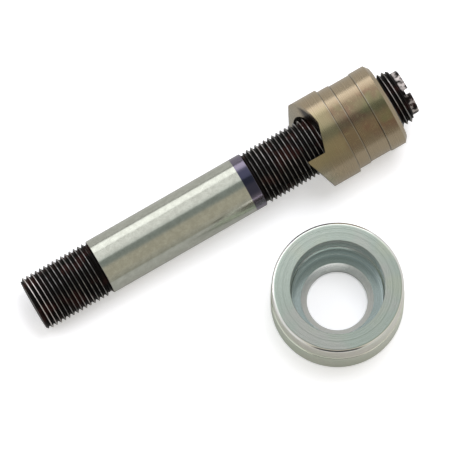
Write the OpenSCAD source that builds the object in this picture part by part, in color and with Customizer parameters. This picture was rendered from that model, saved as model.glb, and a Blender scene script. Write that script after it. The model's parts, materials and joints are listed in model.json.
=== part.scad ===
// Knockout punch set: a draw stud, a slug splitting punch screwed on the stud, and the die beside them.
// The stud and punch lie on a bench, resting on the punch's skirt and on the stud's drive end.
// All lengths are in millimetres. The stud runs along +X, the die lies on its -Y side and Z is up.

/* [Draw stud] */
// Outside diameter of the threads at both ends
thread_d = 19; // [14:0.05:22]
// Advance of the thread in one turn
thread_lead = 1.5875; // [1:0.0005:2.5]
// Step up in radius from the threads to the smooth shank between them
shank_step = 0.025; // [0.005:0.005:0.2]
// Length of the thread that screws into the driver, with its chamfer and groove
drive_thread_len = 25; // [15:0.5:40]
// Length of the smooth shank
shank_len = 57.4; // [30:0.1:90]
// Length of the thread that carries the punch, with its groove and chamfer
punch_thread_len = 55.7; // [46:0.1:80]
// Width of the bottom of the run-out groove between each thread and the shank
relief_flat = 0.46; // [0.1:0.02:2]
// Slope of the groove's sides and of the thread's flanks, in degrees from square
flank_slope = 30; // [15:1:30]
// Step down in radius from the bottom of the thread to the slotted nub past it
nub_step = 0.83; // [0.1:0.01:2]
// Length of the slotted nub
nub_len = 2.6; // [2:0.1:6]
// Chamfer round the end of the nub
nub_chamfer = 0.3; // [0.1:0.05:0.6]
// Width of the screwdriver slot
slot_w = 1.6; // [0.8:0.1:3]
// Depth of the screwdriver slot
slot_depth = 1.5; // [0.5:0.1:1.9]

/* [Punch] */
// Diameter of the cutting skirt, which is the size of the hole it makes
skirt_d = 30.5; // [28:0.1:40]
// Length of the skirt, from the points to the shoulder
skirt_len = 14.6; // [13:0.1:20]
// Step down in radius from the skirt to the body behind it
body_relief = 0.85; // [0.3:0.05:1.5]
// Width of the band behind the shoulder
front_band_len = 4.4; // [2:0.1:8]
// Width of the shallow recess round the body
recess_len = 7.7; // [4:0.1:12]
// Depth of the shallow recess
recess_depth = 0.3; // [0.1:0.05:0.6]
// Width of the band behind the recess
back_band_len = 5.3; // [2:0.1:8]
// Length of the chamfer round the back
back_chamfer_len = 1.35; // [0.5:0.05:2.5]
// Depth of the chamfer round the back
back_chamfer_depth = 1.7; // [0.5:0.05:2]
// Chamfer at the mouth of the threaded bore in the back
bore_chamfer = 0.8; // [0.3:0.05:1.2]
// Radial clearance of the threaded bore on the stud
thread_clearance = 0.05; // [0.02:0.01:0.1]
// Radial clearance of the pocket round the stud in the cutting end
pocket_clearance = 1; // [0.5:0.05:1.5]
// Depth of that pocket, from the points
pocket_depth = 12; // [11:0.1:16]

/* [Cutting end] */
// Distance of each step wall from the axis
wall_offset = 4.2; // [2:0.1:6]
// Slope of the bevel behind each point, in degrees
point_bevel = 23.3; // [15:0.1:30]
// Slope of the long cutting face of each lobe, in degrees
face_slope = 17.7; // [12:0.1:20]
// Depth of the cutting face at its middle, from the points
face_depth = 5; // [4:0.1:6]
// Height of each step wall
step_h = 6.7; // [5:0.1:7]
// Slope of the gullet floor in front of each step wall, in degrees
gullet_slope = 16.7; // [5:0.1:25]

/* [Die] */
// Thickness of the die's wall round its cutting edge
die_wall = 6.4; // [4:0.1:16]
// Height of the die
die_h = 24; // [22:0.1:36]
// Radial clearance of the cutting edge round the punch's skirt
cut_clearance = 0.15; // [0.05:0.01:0.5]
// Depth of the cutting land below the top face
land_depth = 10; // [4:0.1:13]
// Width and height of the sloping ledge below the land
ledge = 0.5; // [0.2:0.05:1]
// Thickness of the die's floor
floor_t = 5.4; // [4:0.1:9]
// Radial clearance of the hole round the shank
die_clearance = 0.4; // [0.2:0.05:1]
// Width of the countersink round the hole in the cavity floor
hole_sink = 2; // [0.5:0.1:2.5]
// Depth of the countersink
sink_depth = 2.7; // [0.5:0.1:3]
// Chamfer of the hole in the bottom
hole_chamfer = 0.4; // [0.2:0.05:0.6]
// Depth below the top face of the step round the side
collar_depth = 10.5; // [5:0.1:14]
// Height and depth of the step round the side
collar_step = 0.2; // [0.1:0.05:0.6]
// Chamfer round the top edge
top_chamfer = 0.7; // [0.3:0.05:1.5]
// Chamfer round the bottom edge
bottom_chamfer = 0.5; // [0.3:0.05:1.5]

/* [Layout] */
// Length of the thread that shows behind the punch
tail_thread = 4.95; // [1:0.05:14]
// Turn of the punch and of the slot from upright, in degrees
clock = 10; // [0:1:30]
// Distance of the die's centre from the stud's drive end, along the stud
die_along = 87.4; // [30:0.1:120]
// Clear space on the bench between the punch and the die, sideways
bench_gap = 9.55; // [2:0.05:60]

/* [Hidden] */
$fn = 96;
// Depth of a sixty degree thread is this share of its lead
thread_depth_share = 0.6134;
// Cutters reach this far past what they cut
over = 1;

thread_r = thread_d / 2;
shank_r = thread_r + shank_step;
root_r = thread_r - thread_depth_share * thread_lead;
end_chamfer = thread_r - root_r;
flank_len = end_chamfer * tan(flank_slope);
shank_flank_len = (shank_r - root_r) * tan(flank_slope);
relief_len = flank_len + relief_flat + shank_flank_len;
drive_relief_z = drive_thread_len - relief_len;
punch_thread_z = drive_thread_len + shank_len;
thread_end_z = punch_thread_z + punch_thread_len;
punch_relief_z = punch_thread_z + relief_len;
nub_r = root_r - nub_step;
stud_len = thread_end_z + nub_len;

skirt_r = skirt_d / 2;
body_r = skirt_r - body_relief;
recess_r = body_r - recess_depth;
back_r = body_r - back_chamfer_depth;
recess_z = skirt_len + front_band_len;
back_band_z = recess_z + recess_len;
back_chamfer_z = back_band_z + back_band_len;
punch_len = back_chamfer_z + back_chamfer_len;
punch_z = thread_end_z - tail_thread - punch_len;
bore_r = thread_r + thread_clearance;
pocket_r = thread_r + pocket_clearance;

land_r = skirt_r + cut_clearance;
die_r = land_r + die_wall;
collar_r = die_r - collar_step;
cavity_r = land_r - ledge;
hole_r = shank_r + die_clearance;
sink_r = hole_r + hole_sink;

// Depth of the cut end at a place on lobe one: x points up from the axis and y points at its tip side
function lobe_depth(x, y) = max(
    tan(point_bevel) * (y - wall_offset),
    min(face_depth - tan(face_slope) * x, step_h + tan(gullet_slope) * (y + wall_offset)));

// The skirt touches the bench along its lowest line, and the stud where its full thread begins
rest_z = lobe_depth(-skirt_r * cos(clock), skirt_r * sin(clock));
lie_angle = atan((skirt_r - thread_r) / (punch_z + rest_z - end_chamfer));
lie_height = thread_r * cos(lie_angle) - end_chamfer * sin(lie_angle);

// The bottom middle of the whole set is the origin
nub_end_r = nub_r - nub_chamfer;
stud_x = -(stud_len * cos(lie_angle) + (nub_end_r - root_r) * sin(lie_angle)) / 2;
die_x = stud_x + die_along;
die_aside = skirt_r + bench_gap + die_r;
die_y = (die_r - skirt_r - die_aside) / 2;
stud_y = die_y + die_aside;

// Lays a piece that stands on its drive end, along +Z, down on the bench
module lay_down() {
    translate([stud_x, stud_y, lie_height])
        rotate([0, 90 - lie_angle, 0])
            children();
}

// Everything below a plane through the origin, turned by the given angles
module below(turn) {
    rotate(turn)
        translate([-2 * skirt_d, -2 * skirt_d, -2 * skirt_d])
            cube([4 * skirt_d, 4 * skirt_d, 2 * skirt_d]);
}

// What is cut from the front of one lobe: the point's bevel, and the long face where it meets the gullet
module lobe_cut() {
    reach = skirt_r + over;
    intersection() {
        translate([0, 0, -over])
            linear_extrude(height = skirt_len + over)
                polygon([
                    [0, wall_offset], [reach, wall_offset], [reach, reach],
                    [-reach, reach], [-reach, -wall_offset], [0, -wall_offset]
                ]);
        union() {
            translate([0, wall_offset, 0])
                below([point_bevel, 0, 0]);
            intersection() {
                translate([0, 0, face_depth])
                    below([0, face_slope, 0]);
                translate([0, -wall_offset, step_h])
                    below([gullet_slope, 0, 0]);
            }
        }
    }
}

// Stud as turned, with its drive end at the origin
module draw_stud() {
    color([0.62, 0.64, 0.6])
        lay_down()
            difference() {
                rotate_extrude()
                    polygon([
                        [0, 0], [root_r, 0], [thread_r, end_chamfer],
                        [thread_r, drive_relief_z], [root_r, drive_relief_z + flank_len],
                        [root_r, drive_thread_len - shank_flank_len], [shank_r, drive_thread_len],
                        [shank_r, punch_thread_z], [root_r, punch_thread_z + shank_flank_len],
                        [root_r, punch_relief_z - flank_len], [thread_r, punch_relief_z],
                        [thread_r, thread_end_z - end_chamfer], [root_r, thread_end_z],
                        [nub_r, thread_end_z], [nub_r, stud_len - nub_chamfer],
                        [nub_end_r, stud_len], [0, stud_len]
                    ]);
                rotate([0, 0, clock])
                    translate([-thread_d, -slot_w / 2, stud_len - slot_depth])
                        cube([2 * thread_d, slot_w, slot_depth + over]);
            }
}

// Punch with its points at the origin of its own length, cut twice, half a turn apart
module punch() {
    color([0.55, 0.47, 0.33])
        lay_down()
            translate([0, 0, punch_z])
                rotate([0, 0, clock])
                    difference() {
                        rotate_extrude()
                            polygon([
                                [0, 0], [skirt_r, 0], [skirt_r, skirt_len],
                                [body_r, skirt_len], [body_r, recess_z],
                                [recess_r, recess_z], [recess_r, back_band_z],
                                [body_r, back_band_z], [body_r, back_chamfer_z],
                                [back_r, punch_len], [0, punch_len]
                            ]);
                        for (half_turn = [0, 180])
                            rotate([0, 0, half_turn])
                                lobe_cut();
                        translate([0, 0, -over])
                            cylinder(r = bore_r, h = punch_len + 2 * over);
                        translate([0, 0, -over])
                            cylinder(r = pocket_r, h = pocket_depth + over);
                        translate([0, 0, punch_len - bore_chamfer])
                            cylinder(r1 = bore_r, r2 = bore_r + bore_chamfer + over, h = bore_chamfer + over);
                    }
}

// Die as turned: cutting land, ledge, cavity floor and the countersunk hole for the stud
module die() {
    color([0.66, 0.69, 0.66])
        translate([die_x, die_y, 0])
            rotate_extrude()
                polygon([
                    [hole_r, hole_chamfer], [hole_r + hole_chamfer, 0],
                    [die_r - bottom_chamfer, 0], [die_r, bottom_chamfer],
                    [die_r, die_h - collar_depth - collar_step], [collar_r, die_h - collar_depth],
                    [collar_r, die_h - top_chamfer], [collar_r - top_chamfer, die_h],
                    [land_r, die_h], [land_r, die_h - land_depth],
                    [cavity_r, die_h - land_depth - ledge], [cavity_r, floor_t],
                    [sink_r, floor_t], [hole_r, floor_t - sink_depth]
                ]);
}

draw_stud();
punch();
die();
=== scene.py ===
import json
import math

import bmesh
import bpy
import numpy as np
from mathutils import Matrix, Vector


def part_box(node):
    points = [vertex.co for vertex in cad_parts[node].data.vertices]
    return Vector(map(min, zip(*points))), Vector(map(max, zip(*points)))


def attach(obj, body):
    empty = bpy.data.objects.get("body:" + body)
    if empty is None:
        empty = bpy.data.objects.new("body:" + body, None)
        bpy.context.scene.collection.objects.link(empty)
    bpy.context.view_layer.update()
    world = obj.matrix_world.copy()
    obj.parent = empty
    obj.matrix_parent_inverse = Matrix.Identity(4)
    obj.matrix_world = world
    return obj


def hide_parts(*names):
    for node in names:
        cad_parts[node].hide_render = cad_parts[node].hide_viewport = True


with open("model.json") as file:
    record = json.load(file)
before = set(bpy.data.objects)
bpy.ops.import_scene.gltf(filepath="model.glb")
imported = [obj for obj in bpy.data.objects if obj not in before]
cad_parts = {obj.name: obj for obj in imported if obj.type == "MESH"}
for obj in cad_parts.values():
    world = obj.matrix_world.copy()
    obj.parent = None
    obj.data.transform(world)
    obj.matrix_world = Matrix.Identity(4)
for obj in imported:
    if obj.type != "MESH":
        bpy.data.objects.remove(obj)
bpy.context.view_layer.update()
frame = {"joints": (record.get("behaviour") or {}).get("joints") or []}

mm = 0.001
turn = 2 * math.pi
up = np.array([0.0, 0.0, 1.0])

# the stud's own axes: along it from the drive end, down to the bench, and sideways away from the die
studJoint = next(j for j in frame["joints"] if j["name"] == "stud_turn")
studStart = np.array(studJoint["pos_m"])
studAlong = np.array(studJoint["axis"]) / np.linalg.norm(studJoint["axis"])
studSide = np.array([0.0, 1.0, 0.0])
studDown = np.cross(studSide, studAlong)

# the die stands upright on the middle of its base
dieLow, dieHigh = (np.array(corner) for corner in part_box("die"))
dieStart = np.append((dieLow + dieHigh)[:2] / 2, dieLow[2])


def onStud(along, radius, angle):
    # millimetres round the stud: down by cosine, sideways by sine, and on along its axis
    along, radius, angle = np.broadcast_arrays(along, radius, angle)
    flat = radius[..., None] * (np.cos(angle)[..., None] * studDown + np.sin(angle)[..., None] * studSide)
    return studStart + mm * (flat + along[..., None] * studAlong)


def onDie(height, radius, angle):
    # millimetres round the die: cosine along x, sine along y, height from its base
    height, radius, angle = np.broadcast_arrays(height, radius, angle)
    return dieStart + mm * np.stack([radius * np.cos(angle), radius * np.sin(angle), height], axis=-1)


def softProfile(corners, radius, closed=False, steps=4):
    # a turned section whose corners become arcs that touch both sides, with a point just past each end of an
    # arc; nearly straight corners and the ends of an open section stay points
    straight, sideShare, guard = math.radians(86), 0.3, 1.25
    pts = np.array(corners, dtype=float)
    radii = np.broadcast_to(radius, len(pts))[:, None]
    back = np.roll(pts, 1, axis=0) - pts
    ahead = np.roll(pts, -1, axis=0) - pts
    backLength = np.linalg.norm(back, axis=1, keepdims=True)
    aheadLength = np.linalg.norm(ahead, axis=1, keepdims=True)
    inWay, outWay = back / backLength, ahead / aheadLength
    half = np.arccos(np.clip((inWay * outWay).sum(axis=1, keepdims=True), -1, 1)) / 2
    bent = half[:, 0] <= straight
    if not closed:
        bent[[0, -1]] = False
    corner, inWay, outWay, half = pts[bent], inWay[bent], outWay[bent], half[bent]
    # an arc of the radius takes the radius over the half angle's tangent from each side
    taken = np.minimum(radii[bent] / np.tan(half), sideShare * np.minimum(backLength, aheadLength)[bent])
    start = corner + inWay * taken
    end = corner + outWay * taken
    halfway = (inWay + outWay) / np.linalg.norm(inWay + outWay, axis=1, keepdims=True)
    middle = corner + halfway * taken / np.cos(half)
    share = np.linspace(0, 1, steps + 1)[:, None]
    sweep = start[:, None] + (end - start)[:, None] * share - middle[:, None]
    reach = np.linalg.norm(start - middle, axis=1)[:, None, None]
    arc = middle[:, None] + sweep / np.linalg.norm(sweep, axis=2, keepdims=True) * reach
    rows = np.repeat(pts[:, None], steps + 3, axis=1)
    first = corner + inWay * taken * guard
    last = corner + outWay * taken * guard
    rows[bent] = np.concatenate([first[:, None], arc, last[:, None]], axis=1)
    keep = np.repeat(bent[:, None], steps + 3, axis=1)
    keep[:, 0] = True
    section = rows[keep]
    return np.append(section, section[:1], axis=0) if closed else section


def turnedGrid(section, place, angles):
    # a section of radius and length, carried round
    return place(section[:, 1][:, None], section[:, 0][:, None], angles[None, :])


def gridFaces(rows, columns, wraps):
    # every cell of a grid as four corners: a turned grid wraps round, a helix meets itself a lead on
    row = np.arange(rows - 1)[:, None] * columns
    column = np.arange(columns if wraps else columns - 1)[None, :]
    following = (column + 1) % columns
    quads = [row + column, row + following, row + columns + following, row + columns + column]
    return np.stack(quads, axis=-1).reshape(-1, 4)


def makePiece(name, turned, helices, sharp):
    # grids share their edge rings, so merging the doubles closes the skin
    mergeGap = 2e-7  # metres
    grids = turned + helices
    wraps = [True] * len(turned) + [False] * len(helices)
    verts = np.concatenate([g.reshape(-1, 3) for g in grids])
    starts = np.cumsum([0] + [g.shape[0] * g.shape[1] for g in grids[:-1]])
    faces = np.concatenate([gridFaces(*g.shape[:2], w) + s for g, s, w in zip(grids, starts, wraps)])
    mesh = bpy.data.meshes.new(name)
    mesh.from_pydata(verts, [], faces)
    work = bmesh.new()
    work.from_mesh(mesh)
    bmesh.ops.remove_doubles(work, verts=work.verts, dist=mergeGap)
    bmesh.ops.dissolve_degenerate(work, edges=work.edges, dist=mergeGap)
    bmesh.ops.recalc_face_normals(work, faces=work.faces)
    loose = sum(1 for e in work.edges if len(e.link_faces) != 2)
    work.to_mesh(mesh)
    work.free()
    mesh.shade_smooth()
    mesh.set_sharp_from_angle(angle=sharp)
    piece = bpy.data.objects.new(name, mesh)
    bpy.context.scene.collection.objects.link(piece)
    print(name, len(mesh.vertices), "points,", loose, "open edges")
    return piece


class Wire:
    # a shader socket that joins in Python sums: each operator adds one Math node
    def __init__(self, tree, socket):
        self.tree = tree
        self.socket = socket

    def add(self, kind, settings, values, output=0):
        # any other node: its settings first, then the values or links of its sockets
        node = self.tree.nodes.new(kind)
        for key, value in settings.items():
            setattr(node, key, value)
        feed(node, values)
        return Wire(self.tree, node.outputs[output])

    def sums(self, operation, *values):
        # one Math node
        return self.add("ShaderNodeMath", {"operation": operation}, dict(enumerate(values)))

    def vector(self, operation, other, output="Vector"):
        # this vector and another one; a dot product comes out at Value
        return self.add("ShaderNodeVectorMath", {"operation": operation}, {0: self, 1: tuple(other)}, output)

    def __add__(self, other):
        return self.sums("ADD", self, other)

    def __radd__(self, other):
        return self.sums("ADD", other, self)

    def __sub__(self, other):
        return self.sums("SUBTRACT", self, other)

    def __rsub__(self, other):
        return self.sums("SUBTRACT", other, self)

    def __mul__(self, other):
        return self.sums("MULTIPLY", self, other)

    def __rmul__(self, other):
        return self.sums("MULTIPLY", other, self)

    def __abs__(self):
        return self.sums("ABSOLUTE", self)

    def larger(self, other):
        # the larger of two masks
        return self.sums("MAXIMUM", self, other)

    def between(self, low, high):
        # nought below low, one above high, smooth between
        return self.add("ShaderNodeMapRange", {"interpolation_type": "SMOOTHSTEP"},
                        {"Value": self, "From Min": low, "From Max": high})

    def blend(self, low, high):
        # this value mixes two colours
        return self.add("ShaderNodeMix", {"data_type": "RGBA"}, {0: self, 6: low, 7: high}, 2)


def feed(node, values):
    # a wire is linked to its socket, anything else is set on it
    for key, value in values.items():
        if isinstance(value, Wire):
            node.id_data.links.new(value.socket, node.inputs[key])
        else:
            node.inputs[key].default_value = value


def newMaterial(name):
    # a plain material, its shader, and the place on the piece that its patterns read
    material = bpy.data.materials.new(name)
    material.use_nodes = True
    tree = material.node_tree
    where = tree.nodes.new("ShaderNodeTexCoord")
    return material, tree.nodes["Principled BSDF"], Wire(tree, where.outputs["Object"])


def roundAxis(where, start, axis):
    # millimetres along an axis, by the dot product, and out from it, by the length of the cross product
    away = where.vector("SUBTRACT", start)
    along = away.vector("DOT_PRODUCT", axis / mm, "Value")
    across = away.vector("CROSS_PRODUCT", axis / mm)
    return along, across.add("ShaderNodeVectorMath", {"operation": "LENGTH"}, {0: across}, "Value")


def paintedSheen(where, low, high):
    # painted sheen, which follows the view: nought where the surface faces the eye, one where it slants away;
    # a bake shows only what faces the eye
    return where.add("ShaderNodeLayerWeight", {}, {"Blend": 0.5}, "Facing").between(low, high)


def nearPlace(along, middle, half):
    # one at a place along the axis, nought beyond half on each side
    return 1 - abs(along - middle).between(half * 0.4, half)


def cloudy(where, scale, detail, rough):
    # soft noise about a half
    return where.add("ShaderNodeTexNoise", {},
                     {"Vector": where, "Scale": scale, "Detail": detail, "Roughness": rough})


def patches(where, scale, detail, rough, low, high):
    # clouds cut to nought below low and to one above high
    return cloudy(where, scale, detail, rough).between(low, high)


def turnedLines(where, along, spacing):
    # fine lines left by the lathe, uneven in strength: noise that changes only along the axis
    line = where.add("ShaderNodeCombineXYZ", {}, {"X": along * (1 / spacing)})
    return cloudy(line, 1.0, 3.0, 0.6)


def lathed(lines, strength, depth):
    # the lathe's lines as a bump, with their depth in millimetres
    return lines.add("ShaderNodeBump", {}, {"Strength": strength, "Distance": depth * mm, "Height": lines})


# how a thread is cut, in millimetres: crestHalf, flankShare and samples are parts of a pitch from the crest's
# middle, and the soft values are parts of the depth
thread = {
    "lead": 1.5875,
    "radius": 9.5,
    "depth": 0.9738,
    "crestAt": 134.10,
    "crestHalf": 0.0625,
    "flankShare": 0.354,
    "crestSoft": 0.03,
    "rootSoft": 0.12,
    "samples": [0.0, 0.045, 0.08, 0.13, 0.26, 0.36, 0.43, 0.5],
}
rootRadius = thread["radius"] - thread["depth"]


def threadDepth(share):
    # flat crest, straight flank and round root: a soft maximum at the crest and a soft minimum at the root
    slope = (np.abs(share) - thread["crestHalf"]) / thread["flankShare"]
    low = (slope + np.sqrt(slope ** 2 + thread["crestSoft"] ** 2)) / 2
    return 1 - ((1 - low) + np.sqrt((1 - low) ** 2 + thread["rootSoft"] ** 2)) / 2


def threadRows(low, high):
    # places along the axis at angle nought, the same in every pitch, reaching a pitch past both ends
    side = np.array(thread["samples"])
    shares = np.unique(np.concatenate([side, 1 - side[:-1]]))[:-1]
    first = math.floor((low - thread["crestAt"]) / thread["lead"]) - 1
    last = math.ceil((high - thread["crestAt"]) / thread["lead"]) + 1
    pitches = np.arange(first, last)[:, None] + shares[None, :]
    away = np.broadcast_to(np.where(shares > 0.5, shares - 1, shares), pitches.shape)
    return thread["crestAt"] + thread["lead"] * pitches.reshape(-1), threadDepth(away.reshape(-1))


def helix(low, high, angles):
    # each row climbs one lead a turn and is clipped at both ends; the depth under its crest goes with it
    places, depths = threadRows(low, high)
    along = np.clip(places[:, None] + thread["lead"] * angles[None, :] / turn, low, high)
    return along, thread["depth"] * depths[:, None]


# the draw stud: lengths along it from the drive end and radii, in millimetres
stud = {
    "shankRadius": 9.525,
    "driveEnd": 25.0,
    "shankEnd": 82.4,
    "threadEnd": 138.1,
    "endSlope": 1.0,
    "endRing": 0.15,
    "grooveFlat": 0.46,
    "flank": math.radians(30),
    "nubRadius": 7.696,
    "nubEnd": 140.7,
    "nubChamfer": 0.3,
    "slotWidth": 1.6,
    "slotDepth": 1.5,
    "clock": math.radians(10),
    "columns": 96,
    "soft": 0.12,
    "nubSoft": 0.1,
    "sharp": math.radians(32),
    # finishes: colours, then where each begins and ends, then patches by scale, detail, roughness and cut
    "oxide": (0.006, 0.005, 0.005, 1),
    "rust": (0.024, 0.009, 0.008, 1),
    "crest": (0.95, 0.86, 0.85, 1),
    "bright": (0.535, 0.55, 0.50, 1),
    "dull": (0.45, 0.46, 0.415, 1),
    # violet is a painted sheen on the heat band where it slants away
    "violet": (0.20, 0.178, 0.24, 1),
    "navy": (0.055, 0.056, 0.095, 1),
    "shankFrom": (24.9, 25.05),
    "bandFrom": (78.5, 78.7),
    "bandUntil": (82.3, 82.5),
    "bandSlant": (0.08, 0.22),
    "rubbedUntil": (2.5, 7.5),
    "wornOut": (9.40, 9.49),
    "glossOut": (9.05, 9.42),
    "nubFrom": (138.3, 138.7),
    "nubOut": (5.5, 7.4),
    "rubbedPatches": (90, 2, 0.55, 0.50, 0.68),
    "nubPatches": (330, 4, 0.55, 0.45, 0.60),
    "rustPatches": (170, 2, 0.55, 0.48, 0.66),
    "dullPatches": (420, 6, 0.75, 0.36, 0.64),
    "dullSpots": (650, 3, 0.70, 0.40, 0.58),
    # how much of a finish shows, from nought to one
    "rubbedLeast": 0.03,
    "rubbedAtEnd": 0.55,
    "rubbedHere": 0.3,
    "nubBare": 0.55,
    "dullShare": 0.9,
    "spotGloss": 0.35,
    # the lathe's lines by spacing, bump and depth in millimetres, then roughness and gloss
    "lineSpacing": 0.12,
    "lineBump": (0.08, 0.05),
    "rough": 0.30,
    "shankSmoother": 0.13,
    "bandSmoother": 0.14,
    "lineRough": 0.08,
    "mirror": 0.05,
    "glossRough": 0.12,
    "glossIndex": 3.0,
}


def outerThread(low, high, lowSlope, highSlope, angles):
    # both ends of the helix are cut back to the root by a straight slope
    along, depth = helix(low, high, angles)
    radius = np.minimum(thread["radius"] - depth, rootRadius + (along - low) / lowSlope)
    radius = np.minimum(radius, rootRadius + (high - along) / highSlope)
    return onStud(along, radius, angles[None, :])


def cutSlot(piece):
    # a square bar across the nub and well past it, taken away
    ends = np.array([-1, 1])
    lengths = [stud["nubEnd"] - stud["slotDepth"], stud["nubEnd"] + 1]
    wide, across, deep = np.meshgrid(ends * 2 * stud["nubRadius"], ends * stud["slotWidth"] / 2, lengths,
                                     indexing="ij")
    corners = onStud(deep, np.hypot(wide, across), np.arctan2(across, wide) + stud["clock"]).reshape(-1, 3)
    sides = [(0, 1, 3, 2), (4, 6, 7, 5), (0, 4, 5, 1), (2, 3, 7, 6), (0, 2, 6, 4), (1, 5, 7, 3)]
    bar = bpy.data.meshes.new("slot_bar")
    bar.from_pydata(corners, [], sides)
    cutter = bpy.data.objects.new("slot_bar", bar)
    bpy.context.scene.collection.objects.link(cutter)
    cut = piece.modifiers.new("slot", "BOOLEAN")
    cut.operation = "DIFFERENCE"
    cut.solver = "EXACT"
    cut.object = cutter
    bpy.context.view_layer.update()
    done = bpy.data.meshes.new_from_object(piece.evaluated_get(bpy.context.evaluated_depsgraph_get()))
    piece.modifiers.clear()
    piece.data = done
    piece.data.name = piece.name
    piece.data.set_sharp_from_angle(angle=stud["sharp"])
    bpy.data.objects.remove(cutter)


def buildStud():
    # turned sections for the end, the shank and the nub, joined by two helices, and then the slot
    angles = np.linspace(0, turn, stud["columns"], endpoint=False)
    flank = math.tan(stud["flank"])
    rise = (stud["shankRadius"] - rootRadius) * flank
    driveRoot = stud["driveEnd"] - rise - stud["grooveFlat"]
    punchRoot = stud["shankEnd"] + rise + stud["grooveFlat"]
    # the drive end's face, with a ring just inside its edge
    end = np.array([[0, 0], [rootRadius / 2, 0], [rootRadius - stud["endRing"], 0], [rootRadius, 0]])
    shank = softProfile([
        [rootRadius, driveRoot], [rootRadius, stud["driveEnd"] - rise],
        [stud["shankRadius"], stud["driveEnd"]], [stud["shankRadius"], stud["shankEnd"]],
        [rootRadius, stud["shankEnd"] + rise], [rootRadius, punchRoot],
    ], stud["soft"])
    nub = softProfile([
        [rootRadius, stud["threadEnd"]], [stud["nubRadius"], stud["threadEnd"]],
        [stud["nubRadius"], stud["nubEnd"] - stud["nubChamfer"]],
        [stud["nubRadius"] - stud["nubChamfer"], stud["nubEnd"]], [0, stud["nubEnd"]],
    ], stud["nubSoft"])
    # the helix shifts a whole lead over a turn, so the last column is the first one a lead further on
    seam = np.append(angles, turn)
    drive = outerThread(0, driveRoot, stud["endSlope"], flank, seam)
    carry = outerThread(punchRoot, stud["threadEnd"], flank, stud["endSlope"], seam)
    parts = [turnedGrid(section, onStud, angles) for section in (end, shank, nub)]
    piece = makePiece("stud_body", parts, [drive, carry], stud["sharp"])
    cutSlot(piece)
    return piece


def studMaterial():
    # black oxide on the threads, bare steel on the shank and a heat band at its end
    material, shader, where = newMaterial("blackened stud with a bright shank")
    along, out = roundAxis(where, studStart, studAlong)
    lines = turnedLines(where, along, stud["lineSpacing"])
    pastShank = along.between(*stud["bandFrom"])
    bright = along.between(*stud["shankFrom"]) * (1 - pastShank)
    band = pastShank * (1 - along.between(*stud["bandUntil"]))
    # the crests are rubbed bright at the drive end, and here and there along the threads; the nub is patchy
    wearAndHighlight = stud["rubbedAtEnd"] * (1 - along.between(*stud["rubbedUntil"]))
    wearAndHighlight = wearAndHighlight + stud["rubbedHere"] * patches(where, *stud["rubbedPatches"])
    worn = out.between(*stud["wornOut"]) * (stud["rubbedLeast"] + wearAndHighlight)
    nub = along.between(*stud["nubFrom"]) * patches(where, *stud["nubPatches"])
    worn = worn.larger(nub * out.between(*stud["nubOut"]) * stud["nubBare"])
    colour = patches(where, *stud["rustPatches"]).blend(stud["oxide"], stud["rust"])
    colour = worn.blend(colour, stud["crest"])
    # the heat band is navy face on, with a painted violet sheen where it slants away
    colour = band.blend(colour, paintedSheen(where, *stud["bandSlant"]).blend(stud["navy"], stud["violet"]))
    dull = patches(where, *stud["dullPatches"]) * stud["dullShare"]
    colour = bright.blend(colour, dull.blend(stud["bright"], stud["dull"]))
    # the crests are smoother than the grooves, with duller spots
    spots = stud["spotGloss"] + (1 - stud["spotGloss"]) * patches(where, *stud["dullSpots"])
    gloss = out.between(*stud["glossOut"]) * (1 - bright - band) * spots
    rough = stud["rough"] - stud["shankSmoother"] * bright - stud["bandSmoother"] * band
    feed(shader, {
        "Base Color": colour,
        "Metallic": worn.larger(bright + band),
        "Roughness": rough + stud["lineRough"] * (lines - 0.5),
        "Normal": lathed(lines, *stud["lineBump"]),
        "Specular IOR Level": stud["mirror"],
        "Coat Weight": gloss,
        "Coat Roughness": stud["glossRough"],
        "Coat IOR": stud["glossIndex"],
    })
    return material


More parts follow.
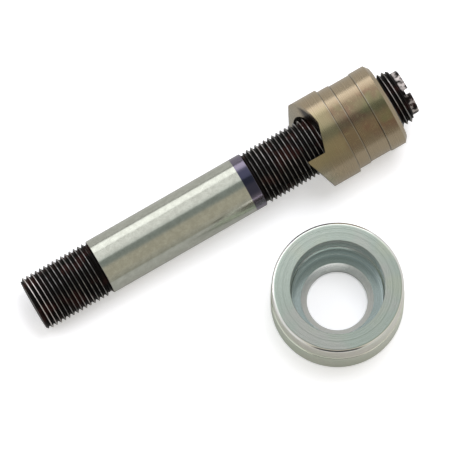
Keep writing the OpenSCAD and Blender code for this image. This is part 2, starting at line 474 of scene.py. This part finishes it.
# the punch: lengths back from its points and radii, in millimetres; bevel, face and gullet are slopes
punch = {
    "pointsAt": 99.8,
    "skirtRadius": 15.25,
    "skirtEnd": 14.6,
    "bodyRadius": 14.4,
    "recessStart": 19.0,
    "recessEnd": 26.7,
    "recessRadius": 14.1,
    "chamferStart": 32.0,
    "backRadius": 12.7,
    "backEnd": 33.35,
    "boreRadius": 9.55,
    "boreMinor": 8.67,
    "boreRoom": 0.1,
    "boreChamfer": 0.8,
    "pocketRadius": 10.5,
    "pocketEnd": 12.0,
    "wall": 4.2,
    "bevel": math.tan(math.radians(23.3)),
    "face": math.tan(math.radians(17.7)),
    "faceDepth": 5.0,
    "step": 6.7,
    "gullet": math.tan(math.radians(16.7)),
    "belowLobes": 10.6,
    "columns": (8, 26, 28, 20),
    "rings": (5, 9),
    "beforeMouth": 0.1,
    "soft": 0.12,
    "sharp": math.radians(24),
    # finishes: colours, then where each begins and ends, then patches by scale, detail, roughness and cut
    "gold": (0.252, 0.194, 0.128, 1),
    "red": (0.245, 0.163, 0.113, 1),
    "green": (0.230, 0.212, 0.122, 1),
    "fresh": (0.36, 0.31, 0.19, 1),
    # pale and grey are a painted sheen where the surface slants away, and grey is also the painted highlight
    # on edges; dark is painted shade in the hole, the gullets and the corners, and also darkens the lathe's
    # lines
    "pale": (0.415, 0.338, 0.238, 1),
    "grey": (0.42, 0.41, 0.36, 1),
    "dark": (0.030, 0.020, 0.016, 1),
    "freshUntil": (12.6, 15.6),
    "greyUntil": (0, 9),
    "paleSlant": (0.09, 0.30),
    "holeOut": (10.45, 10.7),
    "gulletFrom": (6.2, 7.4),
    "gulletUntil": (13, 14),
    "gulletOut": (13.6, 14.6),
    # where the painted shade sits past each corner, and how far it and the painted highlight on the edges
    # reach
    "cornerShadeAt": 0.16,
    "stepReach": 0.12,
    "recessReach": 0.14,
    "redPatches": (140, 3, 0.55, 0.42, 0.62),
    "greenPatches": (95, 2, 0.55, 0.50, 0.68),
    "freshSpecks": (900, 3, 0.70, 0.50, 0.72),
    "skirtClouds": (120, 2, 0.55),
    # how much of a finish shows, from nought to one
    "speckShare": 0.5,
    "greyShare": 0.9,
    "cornerShadeShare": 0.75,
    "edgeHighlightShare": 0.6,
    "lineShare": 0.4,
    # the lathe's lines by cut and fade, spacing, bump and depth in millimetres, then roughness
    "lineCut": (0.5, 0.28),
    "lineSpacing": 0.16,
    "lineBump": (0.25, 0.06),
    "rough": 0.26,
    "lineRough": 0.14,
}
# the bevel's edge runs this far from the axis at its nearest
bevelReach = (punch["faceDepth"] + punch["bevel"] * punch["wall"]) / math.hypot(punch["bevel"], punch["face"])


def lobeAngles(radius):
    # on each circle round the axis: the step wall, both ends of the point's bevel, the gullet's edge and the
    # next wall; a circle crosses the line where two planes meet at the angle whose cosine is the line's
    # nearest distance over the radius
    wall = np.arcsin(punch["wall"] / radius)
    bevelAt = math.atan2(punch["bevel"], punch["face"])
    spread = np.arccos(np.minimum(1, bevelReach / radius))
    drop = punch["faceDepth"] - punch["step"] - punch["gullet"] * punch["wall"]
    drop = drop / math.hypot(punch["gullet"], punch["face"])
    gullet = math.atan2(punch["gullet"], punch["face"]) + np.arccos(drop / radius)
    marks = np.broadcast_arrays(wall, bevelAt - spread, bevelAt + spread, gullet, math.pi + wall)
    stretches = [np.linspace(marks[k], marks[k + 1], n, endpoint=False, axis=-1)
                 for k, n in enumerate(punch["columns"])]
    half = np.concatenate(stretches + [marks[-1][..., None]], axis=-1)
    return np.concatenate([half, half + math.pi], axis=-1)


def lobeDepth(radius, angle, half):
    # the deeper of the point's bevel and of the cutting face, which stops at the gullet's floor
    x = radius * np.cos(angle - half)
    y = radius * np.sin(angle - half)
    bevel = punch["bevel"] * (y - punch["wall"])
    face = punch["faceDepth"] - punch["face"] * x
    floor = punch["step"] + punch["gullet"] * (y + punch["wall"])
    return np.maximum(bevel, np.minimum(face, floor))


def innerThread(angles):
    # the stud's thread again, a little wider, its ridges cut off flat and its ends opened by a slope
    low = punch["pointsAt"] + punch["pocketEnd"]
    high = punch["pointsAt"] + punch["backEnd"] - punch["boreChamfer"]
    along, depth = helix(low, high, angles)
    radius = np.clip(thread["radius"] + punch["boreRoom"] - depth, punch["boreMinor"], punch["boreRadius"])
    radius = np.maximum(radius, punch["boreRadius"] - np.minimum(along - low, high - along))
    return onStud(along, radius, angles[None, :])


def punchRing(radius, depth, angles):
    # points on the punch: each ring's radius and depth behind the points, at the lobes' own angles
    return onStud(punch["pointsAt"] + depth, radius, angles + stud["clock"])


def buildPunch():
    # rings from the pocket over the lobes to the skirt, a turned section round the back, and the bore's helix
    outer, inner = punch["skirtRadius"], punch["pocketRadius"]
    innerRings, outerRings = punch["rings"]
    count = sum(punch["columns"]) + 1
    half = np.repeat([0, math.pi], count)
    rings = np.unique(np.concatenate([np.linspace(inner, bevelReach, innerRings),
                                      np.linspace(bevelReach, outer, outerRings)]))
    faceAngles = lobeAngles(rings)
    faceDepth = lobeDepth(rings[:, None], faceAngles, half)
    innerAngles, outerAngles = faceAngles[0], faceAngles[-1]
    pocket = np.stack([
        punchRing(punch["boreRadius"], punch["pocketEnd"], innerAngles),
        punchRing(inner, punch["pocketEnd"], innerAngles),
        punchRing(inner, punch["belowLobes"], innerAngles),
        punchRing(inner, np.maximum(faceDepth[0], punch["step"]), innerAngles),
    ])
    front = punchRing(rings[:, None], faceDepth, faceAngles)
    skirt = np.stack([
        punchRing(outer, np.maximum(faceDepth[-1], punch["step"]), outerAngles),
        punchRing(outer, punch["belowLobes"], outerAngles),
    ])
    mouthRadius = punch["boreRadius"] + punch["boreChamfer"]
    back = softProfile([
        [outer, punch["belowLobes"]], [outer, punch["skirtEnd"]], [punch["bodyRadius"], punch["skirtEnd"]],
        [punch["bodyRadius"], punch["recessStart"]], [punch["recessRadius"], punch["recessStart"]],
        [punch["recessRadius"], punch["recessEnd"]], [punch["bodyRadius"], punch["recessEnd"]],
        [punch["bodyRadius"], punch["chamferStart"]], [punch["backRadius"], punch["backEnd"]],
        [mouthRadius, punch["backEnd"]], [punch["boreRadius"], punch["backEnd"] - punch["boreChamfer"]],
    ], punch["soft"])
    # round the back the columns move over to the bore's own angles, and are there just before its mouth
    width = punch["backRadius"] - mouthRadius - punch["beforeMouth"]
    share = np.clip((punch["backRadius"] - back[:, :1]) / width, 0, 1)
    body = punchRing(back[:, :1], back[:, 1:], outerAngles + share * (innerAngles - outerAngles))
    # the bore has each angle once, where the lobes have theirs twice at a step wall
    keep = np.ones(2 * count, bool)
    keep[[count - 1, 2 * count - 1]] = False
    boreAngles = innerAngles[keep] + stud["clock"]
    bore = innerThread(np.append(boreAngles, boreAngles[0] + turn))
    return makePiece("punch_body", [np.concatenate([pocket, front, skirt]), body], [bore], punch["sharp"])


def punchMaterial():
    # a yellowish film on steel, in patches
    material, shader, where = newMaterial("yellow chromate punch")
    along, out = roundAxis(where, studStart, studAlong)
    behind = along - punch["pointsAt"]
    lines = turnedLines(where, along, punch["lineSpacing"])
    colour = patches(where, *punch["redPatches"]).blend(punch["gold"], punch["red"])
    colour = patches(where, *punch["greenPatches"]).blend(colour, punch["green"])
    colour = (patches(where, *punch["freshSpecks"]) * punch["speckShare"]).blend(colour, punch["fresh"])
    # lighter on the skirt; a painted sheen, paler where it slants away and greyer towards the points
    skirt = (1 - behind.between(*punch["freshUntil"])) * (0.5 + 0.5 * cloudy(where, *punch["skirtClouds"]))
    colour = skirt.blend(colour, punch["fresh"])
    points = (1 - behind.between(*punch["greyUntil"])) * punch["greyShare"]
    colour = paintedSheen(where, *punch["paleSlant"]).blend(colour, points.blend(punch["pale"], punch["grey"]))
    # painted shade: dark in the hole and the gullets
    hole = 1 - out.between(*punch["holeOut"])
    gullet = behind.between(*punch["gulletFrom"]) * (1 - behind.between(*punch["gulletUntil"]))
    gullet = gullet * (1 - out.between(*punch["gulletOut"]))
    colour = hole.larger(gullet).blend(colour, punch["dark"])
    # painted shade in the corners of the recess and of the step, and a painted highlight on their edges
    paintedCornerShade = nearPlace(behind, punch["skirtEnd"] + punch["cornerShadeAt"], punch["stepReach"])
    wearAndHighlight = nearPlace(behind, punch["skirtEnd"] - punch["stepReach"], punch["stepReach"])
    for corner, way in ((punch["recessStart"], 1), (punch["recessEnd"], -1)):
        paintedCornerShade = paintedCornerShade.larger(nearPlace(behind, corner + way * punch["cornerShadeAt"], punch["recessReach"]))
        wearAndHighlight = wearAndHighlight.larger(nearPlace(behind, corner - way * punch["recessReach"], punch["recessReach"]))
    colour = (paintedCornerShade * punch["cornerShadeShare"]).blend(colour, punch["dark"])
    colour = (wearAndHighlight * punch["edgeHighlightShare"]).blend(colour, punch["grey"])
    cut, fade = punch["lineCut"]
    colour = ((cut - lines).between(0, fade) * punch["lineShare"]).blend(colour, punch["dark"])
    feed(shader, {
        "Base Color": colour,
        "Metallic": 1.0,
        "Roughness": punch["rough"] + punch["lineRough"] * (lines - 0.5),
        "Normal": lathed(lines, *punch["lineBump"]),
    })
    return material


# the die: radii and heights above its base, in millimetres
die = {
    "radius": 21.8,
    "footChamfer": 0.5,
    "collarRadius": 21.6,
    "collarAt": 13.5,
    "height": 24,
    "rimChamfer": 0.7,
    "landRadius": 15.4,
    "landEnd": 14,
    "cavityRadius": 14.9,
    "floor": 5.4,
    "sinkWidth": 2.0,
    "sinkDepth": 2.7,
    "holeRadius": 9.925,
    "holeChamfer": 0.4,
    "soft": 0.15,
    "rimSoft": 0.7,
    "columns": 192,
    "sharp": math.radians(32),
    # finishes: colours, then where each begins and ends, then patches by scale, detail, roughness and cut
    "zinc": (0.72, 0.79, 0.74, 1),
    "pink": (0.80, 0.79, 0.77, 1),
    "yellow": (0.77, 0.81, 0.71, 1),
    "inside": (0.58, 0.66, 0.67, 1),
    # the lip and the edge are painted highlights; shade is painted shade under the ledge and at the land's
    # mouth, and also darkens the turned rings
    "paintedLipHighlight": (0.96, 0.90, 0.90, 1),
    "shade": (0.30, 0.34, 0.32, 1),
    "edge": (0.98, 0.98, 0.97, 1),
    "rosy": (0.97, 0.92, 0.88, 1),
    "leafy": (0.85, 0.95, 0.81, 1),
    "insideOut": (15.2, 15.5),
    "insideUntil": (13.0, 15.0),
    "underFrom": (6.5, 13.0),
    "underUntil": (13.3, 13.5),
    "sideOut": (21.45, 21.55),
    "rosyFrom": (10.0, 17.0),
    "landOut": (15.5, 15.7),
    "landFrom": (13.9, 14.3),
    "mouthFrom": (16.0, 20.0),
    "lipUntil": (14.6, 16.4),
    "sinkOut": (11.7, 12.0),
    "sinkFrom": (1.6, 2.1),
    "rimOut": (20.85, 20.95),
    "rimFrom": (20, 21),
    "pinkPatches": (60, 2, 0.55, 0.45, 0.65),
    "yellowPatches": (45, 2, 0.55, 0.52, 0.70),
    "rosyPatches": (55, 2, 0.55, 0.38, 0.62),
    # how much of a finish shows, from nought to one
    "underShare": 0.95,
    "rosyRise": 0.6,
    "mouthShare": 0.85,
    "lipShare": 0.8,
    "ringShare": 0.22,
    # the lathe's rings and lines by cut and fade, spacing, bump and depth in millimetres, then roughness
    "ringCut": (0.55, 0.25),
    "ringSpacing": 0.9,
    "lineSpacing": 0.25,
    "lineBump": (0.2, 0.08),
    "rough": 0.16,
    "lineRough": 0.12,
}


def buildDie():
    # once round the section: hole, base, outside, rim, cutting land, cavity, floor and countersink
    hole, land = die["holeRadius"], die["landRadius"]
    outer, collar = die["radius"], die["collarRadius"]
    foot, rim, top = die["footChamfer"], die["rimChamfer"], die["height"]
    ledge = die["landEnd"] - (land - die["cavityRadius"])
    corners = [
        [hole, die["holeChamfer"]], [hole + die["holeChamfer"], 0], [outer - foot, 0], [outer, foot],
        [outer, die["collarAt"] - (outer - collar)], [collar, die["collarAt"]],
        [collar, top - rim], [collar - rim, top],
        [land, top], [land, die["landEnd"]],
        [die["cavityRadius"], ledge], [die["cavityRadius"], die["floor"]],
        [hole + die["sinkWidth"], die["floor"]], [hole, die["floor"] - die["sinkDepth"]],
    ]
    soft = np.full(len(corners), die["soft"])
    soft[corners.index([collar, top - rim])] = die["rimSoft"]
    soft[corners.index([collar - rim, top])] = die["rimSoft"]
    section = softProfile(corners, soft, closed=True)
    angles = np.linspace(0, turn, die["columns"], endpoint=False)
    return makePiece("die_body", [turnedGrid(section, onDie, angles)], [], die["sharp"])


def dieMaterial():
    # clear zinc with faint tints and turned rings
    material, shader, where = newMaterial("clear zinc die")
    height, out = roundAxis(where, dieStart, up)
    lines = turnedLines(where, height + out, die["lineSpacing"])
    rings = turnedLines(where, height + out, die["ringSpacing"])
    colour = patches(where, *die["pinkPatches"]).blend(die["zinc"], die["pink"])
    colour = patches(where, *die["yellowPatches"]).blend(colour, die["yellow"])
    # darker and bluer inside, and painted shade up the wall under the ledge
    inside = (1 - out.between(*die["insideOut"])) * (1 - height.between(*die["insideUntil"]))
    colour = inside.blend(colour, die["inside"])
    under = inside * height.between(*die["underFrom"]) * (1 - height.between(*die["underUntil"]))
    colour = (under * die["underShare"]).blend(colour, die["shade"])
    # the outside runs from rosy under the rim to leafy below the collar
    side = out.between(*die["sideOut"])
    warmth = die["rosyRise"] * height.between(*die["rosyFrom"])
    warmth = warmth + (1 - die["rosyRise"]) * patches(where, *die["rosyPatches"])
    colour = side.blend(colour, warmth.blend(die["leafy"], die["rosy"]))
    # the bore's land has painted shade at its mouth and a painted highlight where it ends
    land = (1 - out.between(*die["landOut"])) * height.between(*die["landFrom"])
    colour = (land * height.between(*die["mouthFrom"]) * die["mouthShare"]).blend(colour, die["shade"])
    colour = (land * (1 - height.between(*die["lipUntil"])) * die["lipShare"]).blend(colour, die["paintedLipHighlight"])
    # painted highlights: the countersink and the rim's chamfer are brightest
    sink = (1 - out.between(*die["sinkOut"])) * height.between(*die["sinkFrom"])
    rim = out.between(*die["rimOut"]) * (1 - side) * height.between(*die["rimFrom"])
    colour = sink.larger(rim).blend(colour, die["edge"])
    cut, fade = die["ringCut"]
    colour = ((cut - rings).between(0, fade) * die["ringShare"]).blend(colour, die["shade"])
    feed(shader, {
        "Base Color": colour,
        "Metallic": 1.0,
        "Roughness": die["rough"] + die["lineRough"] * (lines - 0.5),
        "Normal": lathed(lines, *die["lineBump"]),
    })
    return material


studPiece = buildStud()
punchPiece = buildPunch()
diePiece = buildDie()
for piece, node, slot in ((studPiece, "draw_stud", "stud_steel"), (punchPiece, "punch", "punch_steel"),
                          (diePiece, "die", "die_steel")):
    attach(piece, node)
    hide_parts(node)
print("pieces made")

for piece, finish in ((studPiece, studMaterial), (punchPiece, punchMaterial), (diePiece, dieMaterial)):
    piece.data.materials.clear()
    piece.data.materials.append(finish())
print("finishes made")


# the bench, in metres: the grey that it lights with, the white that the camera sees, and a lift for the
# camera, of which metal mirrors a part
bench = {
    "half": 3.0,
    "below": 2e-5,
    "colour": (0.53, 0.53, 0.52, 1),
    "white": (0.91, 0.91, 0.965, 1),
    "lift": 0.34,
    "mirrored": 0.12,
}
# the room's colours by direction, and where on the unit sphere each begins and ends
room = {
    "side": (0.50, 0.50, 0.48, 1),
    "warm": (0.60, 0.56, 0.46, 1),
    "ends": (0.72, 0.72, 0.71, 1),
    "above": (0.31, 0.34, 0.32, 1),
    "front": (0.46, 0.445, 0.375, 1),
    "viewer": (0.06, 0.06, 0.06, 1),
    "warmUntil": (-0.5, 0.1),
    "endsFrom": (0.45, 0.65),
    "endsUntil": (0.3, 0.6),
    "aboveFrom": (0.90, 0.99),
    "frontUntil": (-0.6, -0.2),
    "frontBelow": (0.0, 0.4),
    "viewerFrom": (0.88, 0.95),
    "viewerRise": 0.2,
}
camera = {
    "target": (-0.0029, 0.01863, 0.010),
    "distance": 4.0,
    "azimuth": math.radians(-29.78),
    "elevation": math.radians(78.1),
    "lens": 981.3,
    "sensor": 36,
    "farEnd": 20,
}
# soft panels behind the stud, and a lamp for the bench's shadows that metal doesn't mirror: degrees from
# straight up, degrees round from behind towards x, size in metres and brightness
lamps = {
    "low panel": {"tilt": 65.5, "round": 0, "wide": 3.4, "high": 0.66, "bright": 1.28, "mirrored": True},
    "high panel": {"tilt": 29, "round": 0, "wide": 2.8, "high": 0.84, "bright": 0.66, "mirrored": True},
    "top lamp": {"tilt": 17, "round": 72, "wide": 0.54, "high": 0.54, "bright": 6.8, "mirrored": False},
}
lampDistance = 1.2
aim = np.array(camera["target"])
rightWay = np.array([math.cos(camera["azimuth"]), math.sin(camera["azimuth"]), 0])
awayWay = np.cross(up, rightWay)


def benchMaterial():
    # a grey bench that the camera sees as white, and lifted a little for it and for what mirrors it
    material, shader, where = newMaterial("white bench")
    direct, glossy, clear = (where.add("ShaderNodeLightPath", {}, {}, kind)
                             for kind in ("Is Camera Ray", "Is Glossy Ray", "Is Transmission Ray"))
    seen = direct + bench["mirrored"] * (glossy + clear)
    feed(shader, {
        "Base Color": direct.blend(bench["colour"], bench["white"]),
        "Roughness": 0.8,
        "Specular IOR Level": 0.0,
        "Emission Color": seen.blend((0, 0, 0, 1), (bench["lift"], bench["lift"], bench["lift"], 1)),
        "Emission Strength": 1.0,
    })
    return material


def buildRoom():
    # a dim room: warmer opposite the panels, paler low on the left and right, darker straight above
    world = bpy.data.worlds.new("room")
    bpy.context.scene.world = world
    world.use_nodes = True
    where = world.node_tree.nodes.new("ShaderNodeTexCoord")
    way = Wire(world.node_tree, where.outputs["Generated"])
    y, z = (way.add("ShaderNodeSeparateXYZ", {}, {0: way}, letter) for letter in "YZ")
    colour = y.between(*room["warmUntil"]).blend(room["warm"], room["side"])
    ends = abs(way.vector("DOT_PRODUCT", rightWay, "Value")).between(*room["endsFrom"])
    colour = (ends * (1 - z.between(*room["endsUntil"]))).blend(colour, room["ends"])
    colour = z.between(*room["aboveFrom"]).blend(colour, room["above"])
    # it dims low in front, where the viewer's own dark shape stands
    low = (1 - y.between(*room["frontUntil"])) * (1 - z.between(*room["frontBelow"]))
    colour = low.blend(colour, room["front"])
    ahead = way.vector("DOT_PRODUCT", room["viewerRise"] * up - awayWay, "Value")
    colour = ahead.between(*room["viewerFrom"]).blend(colour, room["viewer"])
    feed(world.node_tree.nodes["Background"], {"Color": colour})


def aimFrom(holder, here):
    # the object's -z looks from here at the aim, with its y as near up as it can be
    back = (here - aim) / np.linalg.norm(here - aim)
    right = np.cross(up, back)
    right = right / np.linalg.norm(right)
    matrix = np.eye(4)
    matrix[:3] = np.stack([right, np.cross(back, right), back, here], axis=1)
    holder.matrix_world = Matrix(matrix.tolist())


def buildBench():
    # a square just under the pieces, far wider than the picture
    edge = bench["half"] * np.array([[-1, -1, 0], [1, -1, 0], [1, 1, 0], [-1, 1, 0]])
    mesh = bpy.data.meshes.new("bench")
    mesh.from_pydata(edge - bench["below"] * up, [], [(0, 1, 2, 3)])
    floor = bpy.data.objects.new("bench", mesh)
    bpy.context.scene.collection.objects.link(floor)
    mesh.materials.append(benchMaterial())


def buildLamps():
    # a lamp of brightness one looks as bright as white: its power is that, times pi, times its area
    for name, lamp in lamps.items():
        light = bpy.data.lights.new(name, "AREA")
        light.shape = "RECTANGLE"
        light.size = lamp["wide"]
        light.size_y = lamp["high"]
        light.energy = lamp["bright"] * math.pi * lamp["wide"] * lamp["high"]
        holder = bpy.data.objects.new(name, light)
        holder.visible_glossy = lamp["mirrored"]
        bpy.context.scene.collection.objects.link(holder)
        tilt = math.radians(lamp["tilt"])
        around = math.radians(lamp["round"])
        flat = math.cos(around) * studSide + math.sin(around) * np.array([1.0, 0.0, 0.0])
        aimFrom(holder, aim + lampDistance * (math.sin(tilt) * flat + math.cos(tilt) * up))


def buildCamera():
    # back from the target by the distance: up by the elevation's sine, towards the viewer by its cosine
    eye = bpy.data.cameras.new("camera")
    eye.lens = camera["lens"]
    eye.sensor_width = camera["sensor"]
    eye.sensor_fit = "HORIZONTAL"
    eye.clip_end = camera["farEnd"]
    holder = bpy.data.objects.new("camera", eye)
    bpy.context.scene.collection.objects.link(holder)
    way = math.sin(camera["elevation"]) * up - math.cos(camera["elevation"]) * awayWay
    aimFrom(holder, aim + camera["distance"] * way)
    bpy.context.scene.camera = holder


buildRoom()
buildBench()
buildLamps()
buildCamera()
bpy.context.scene.view_settings.view_transform = "Standard"
print("stage set")
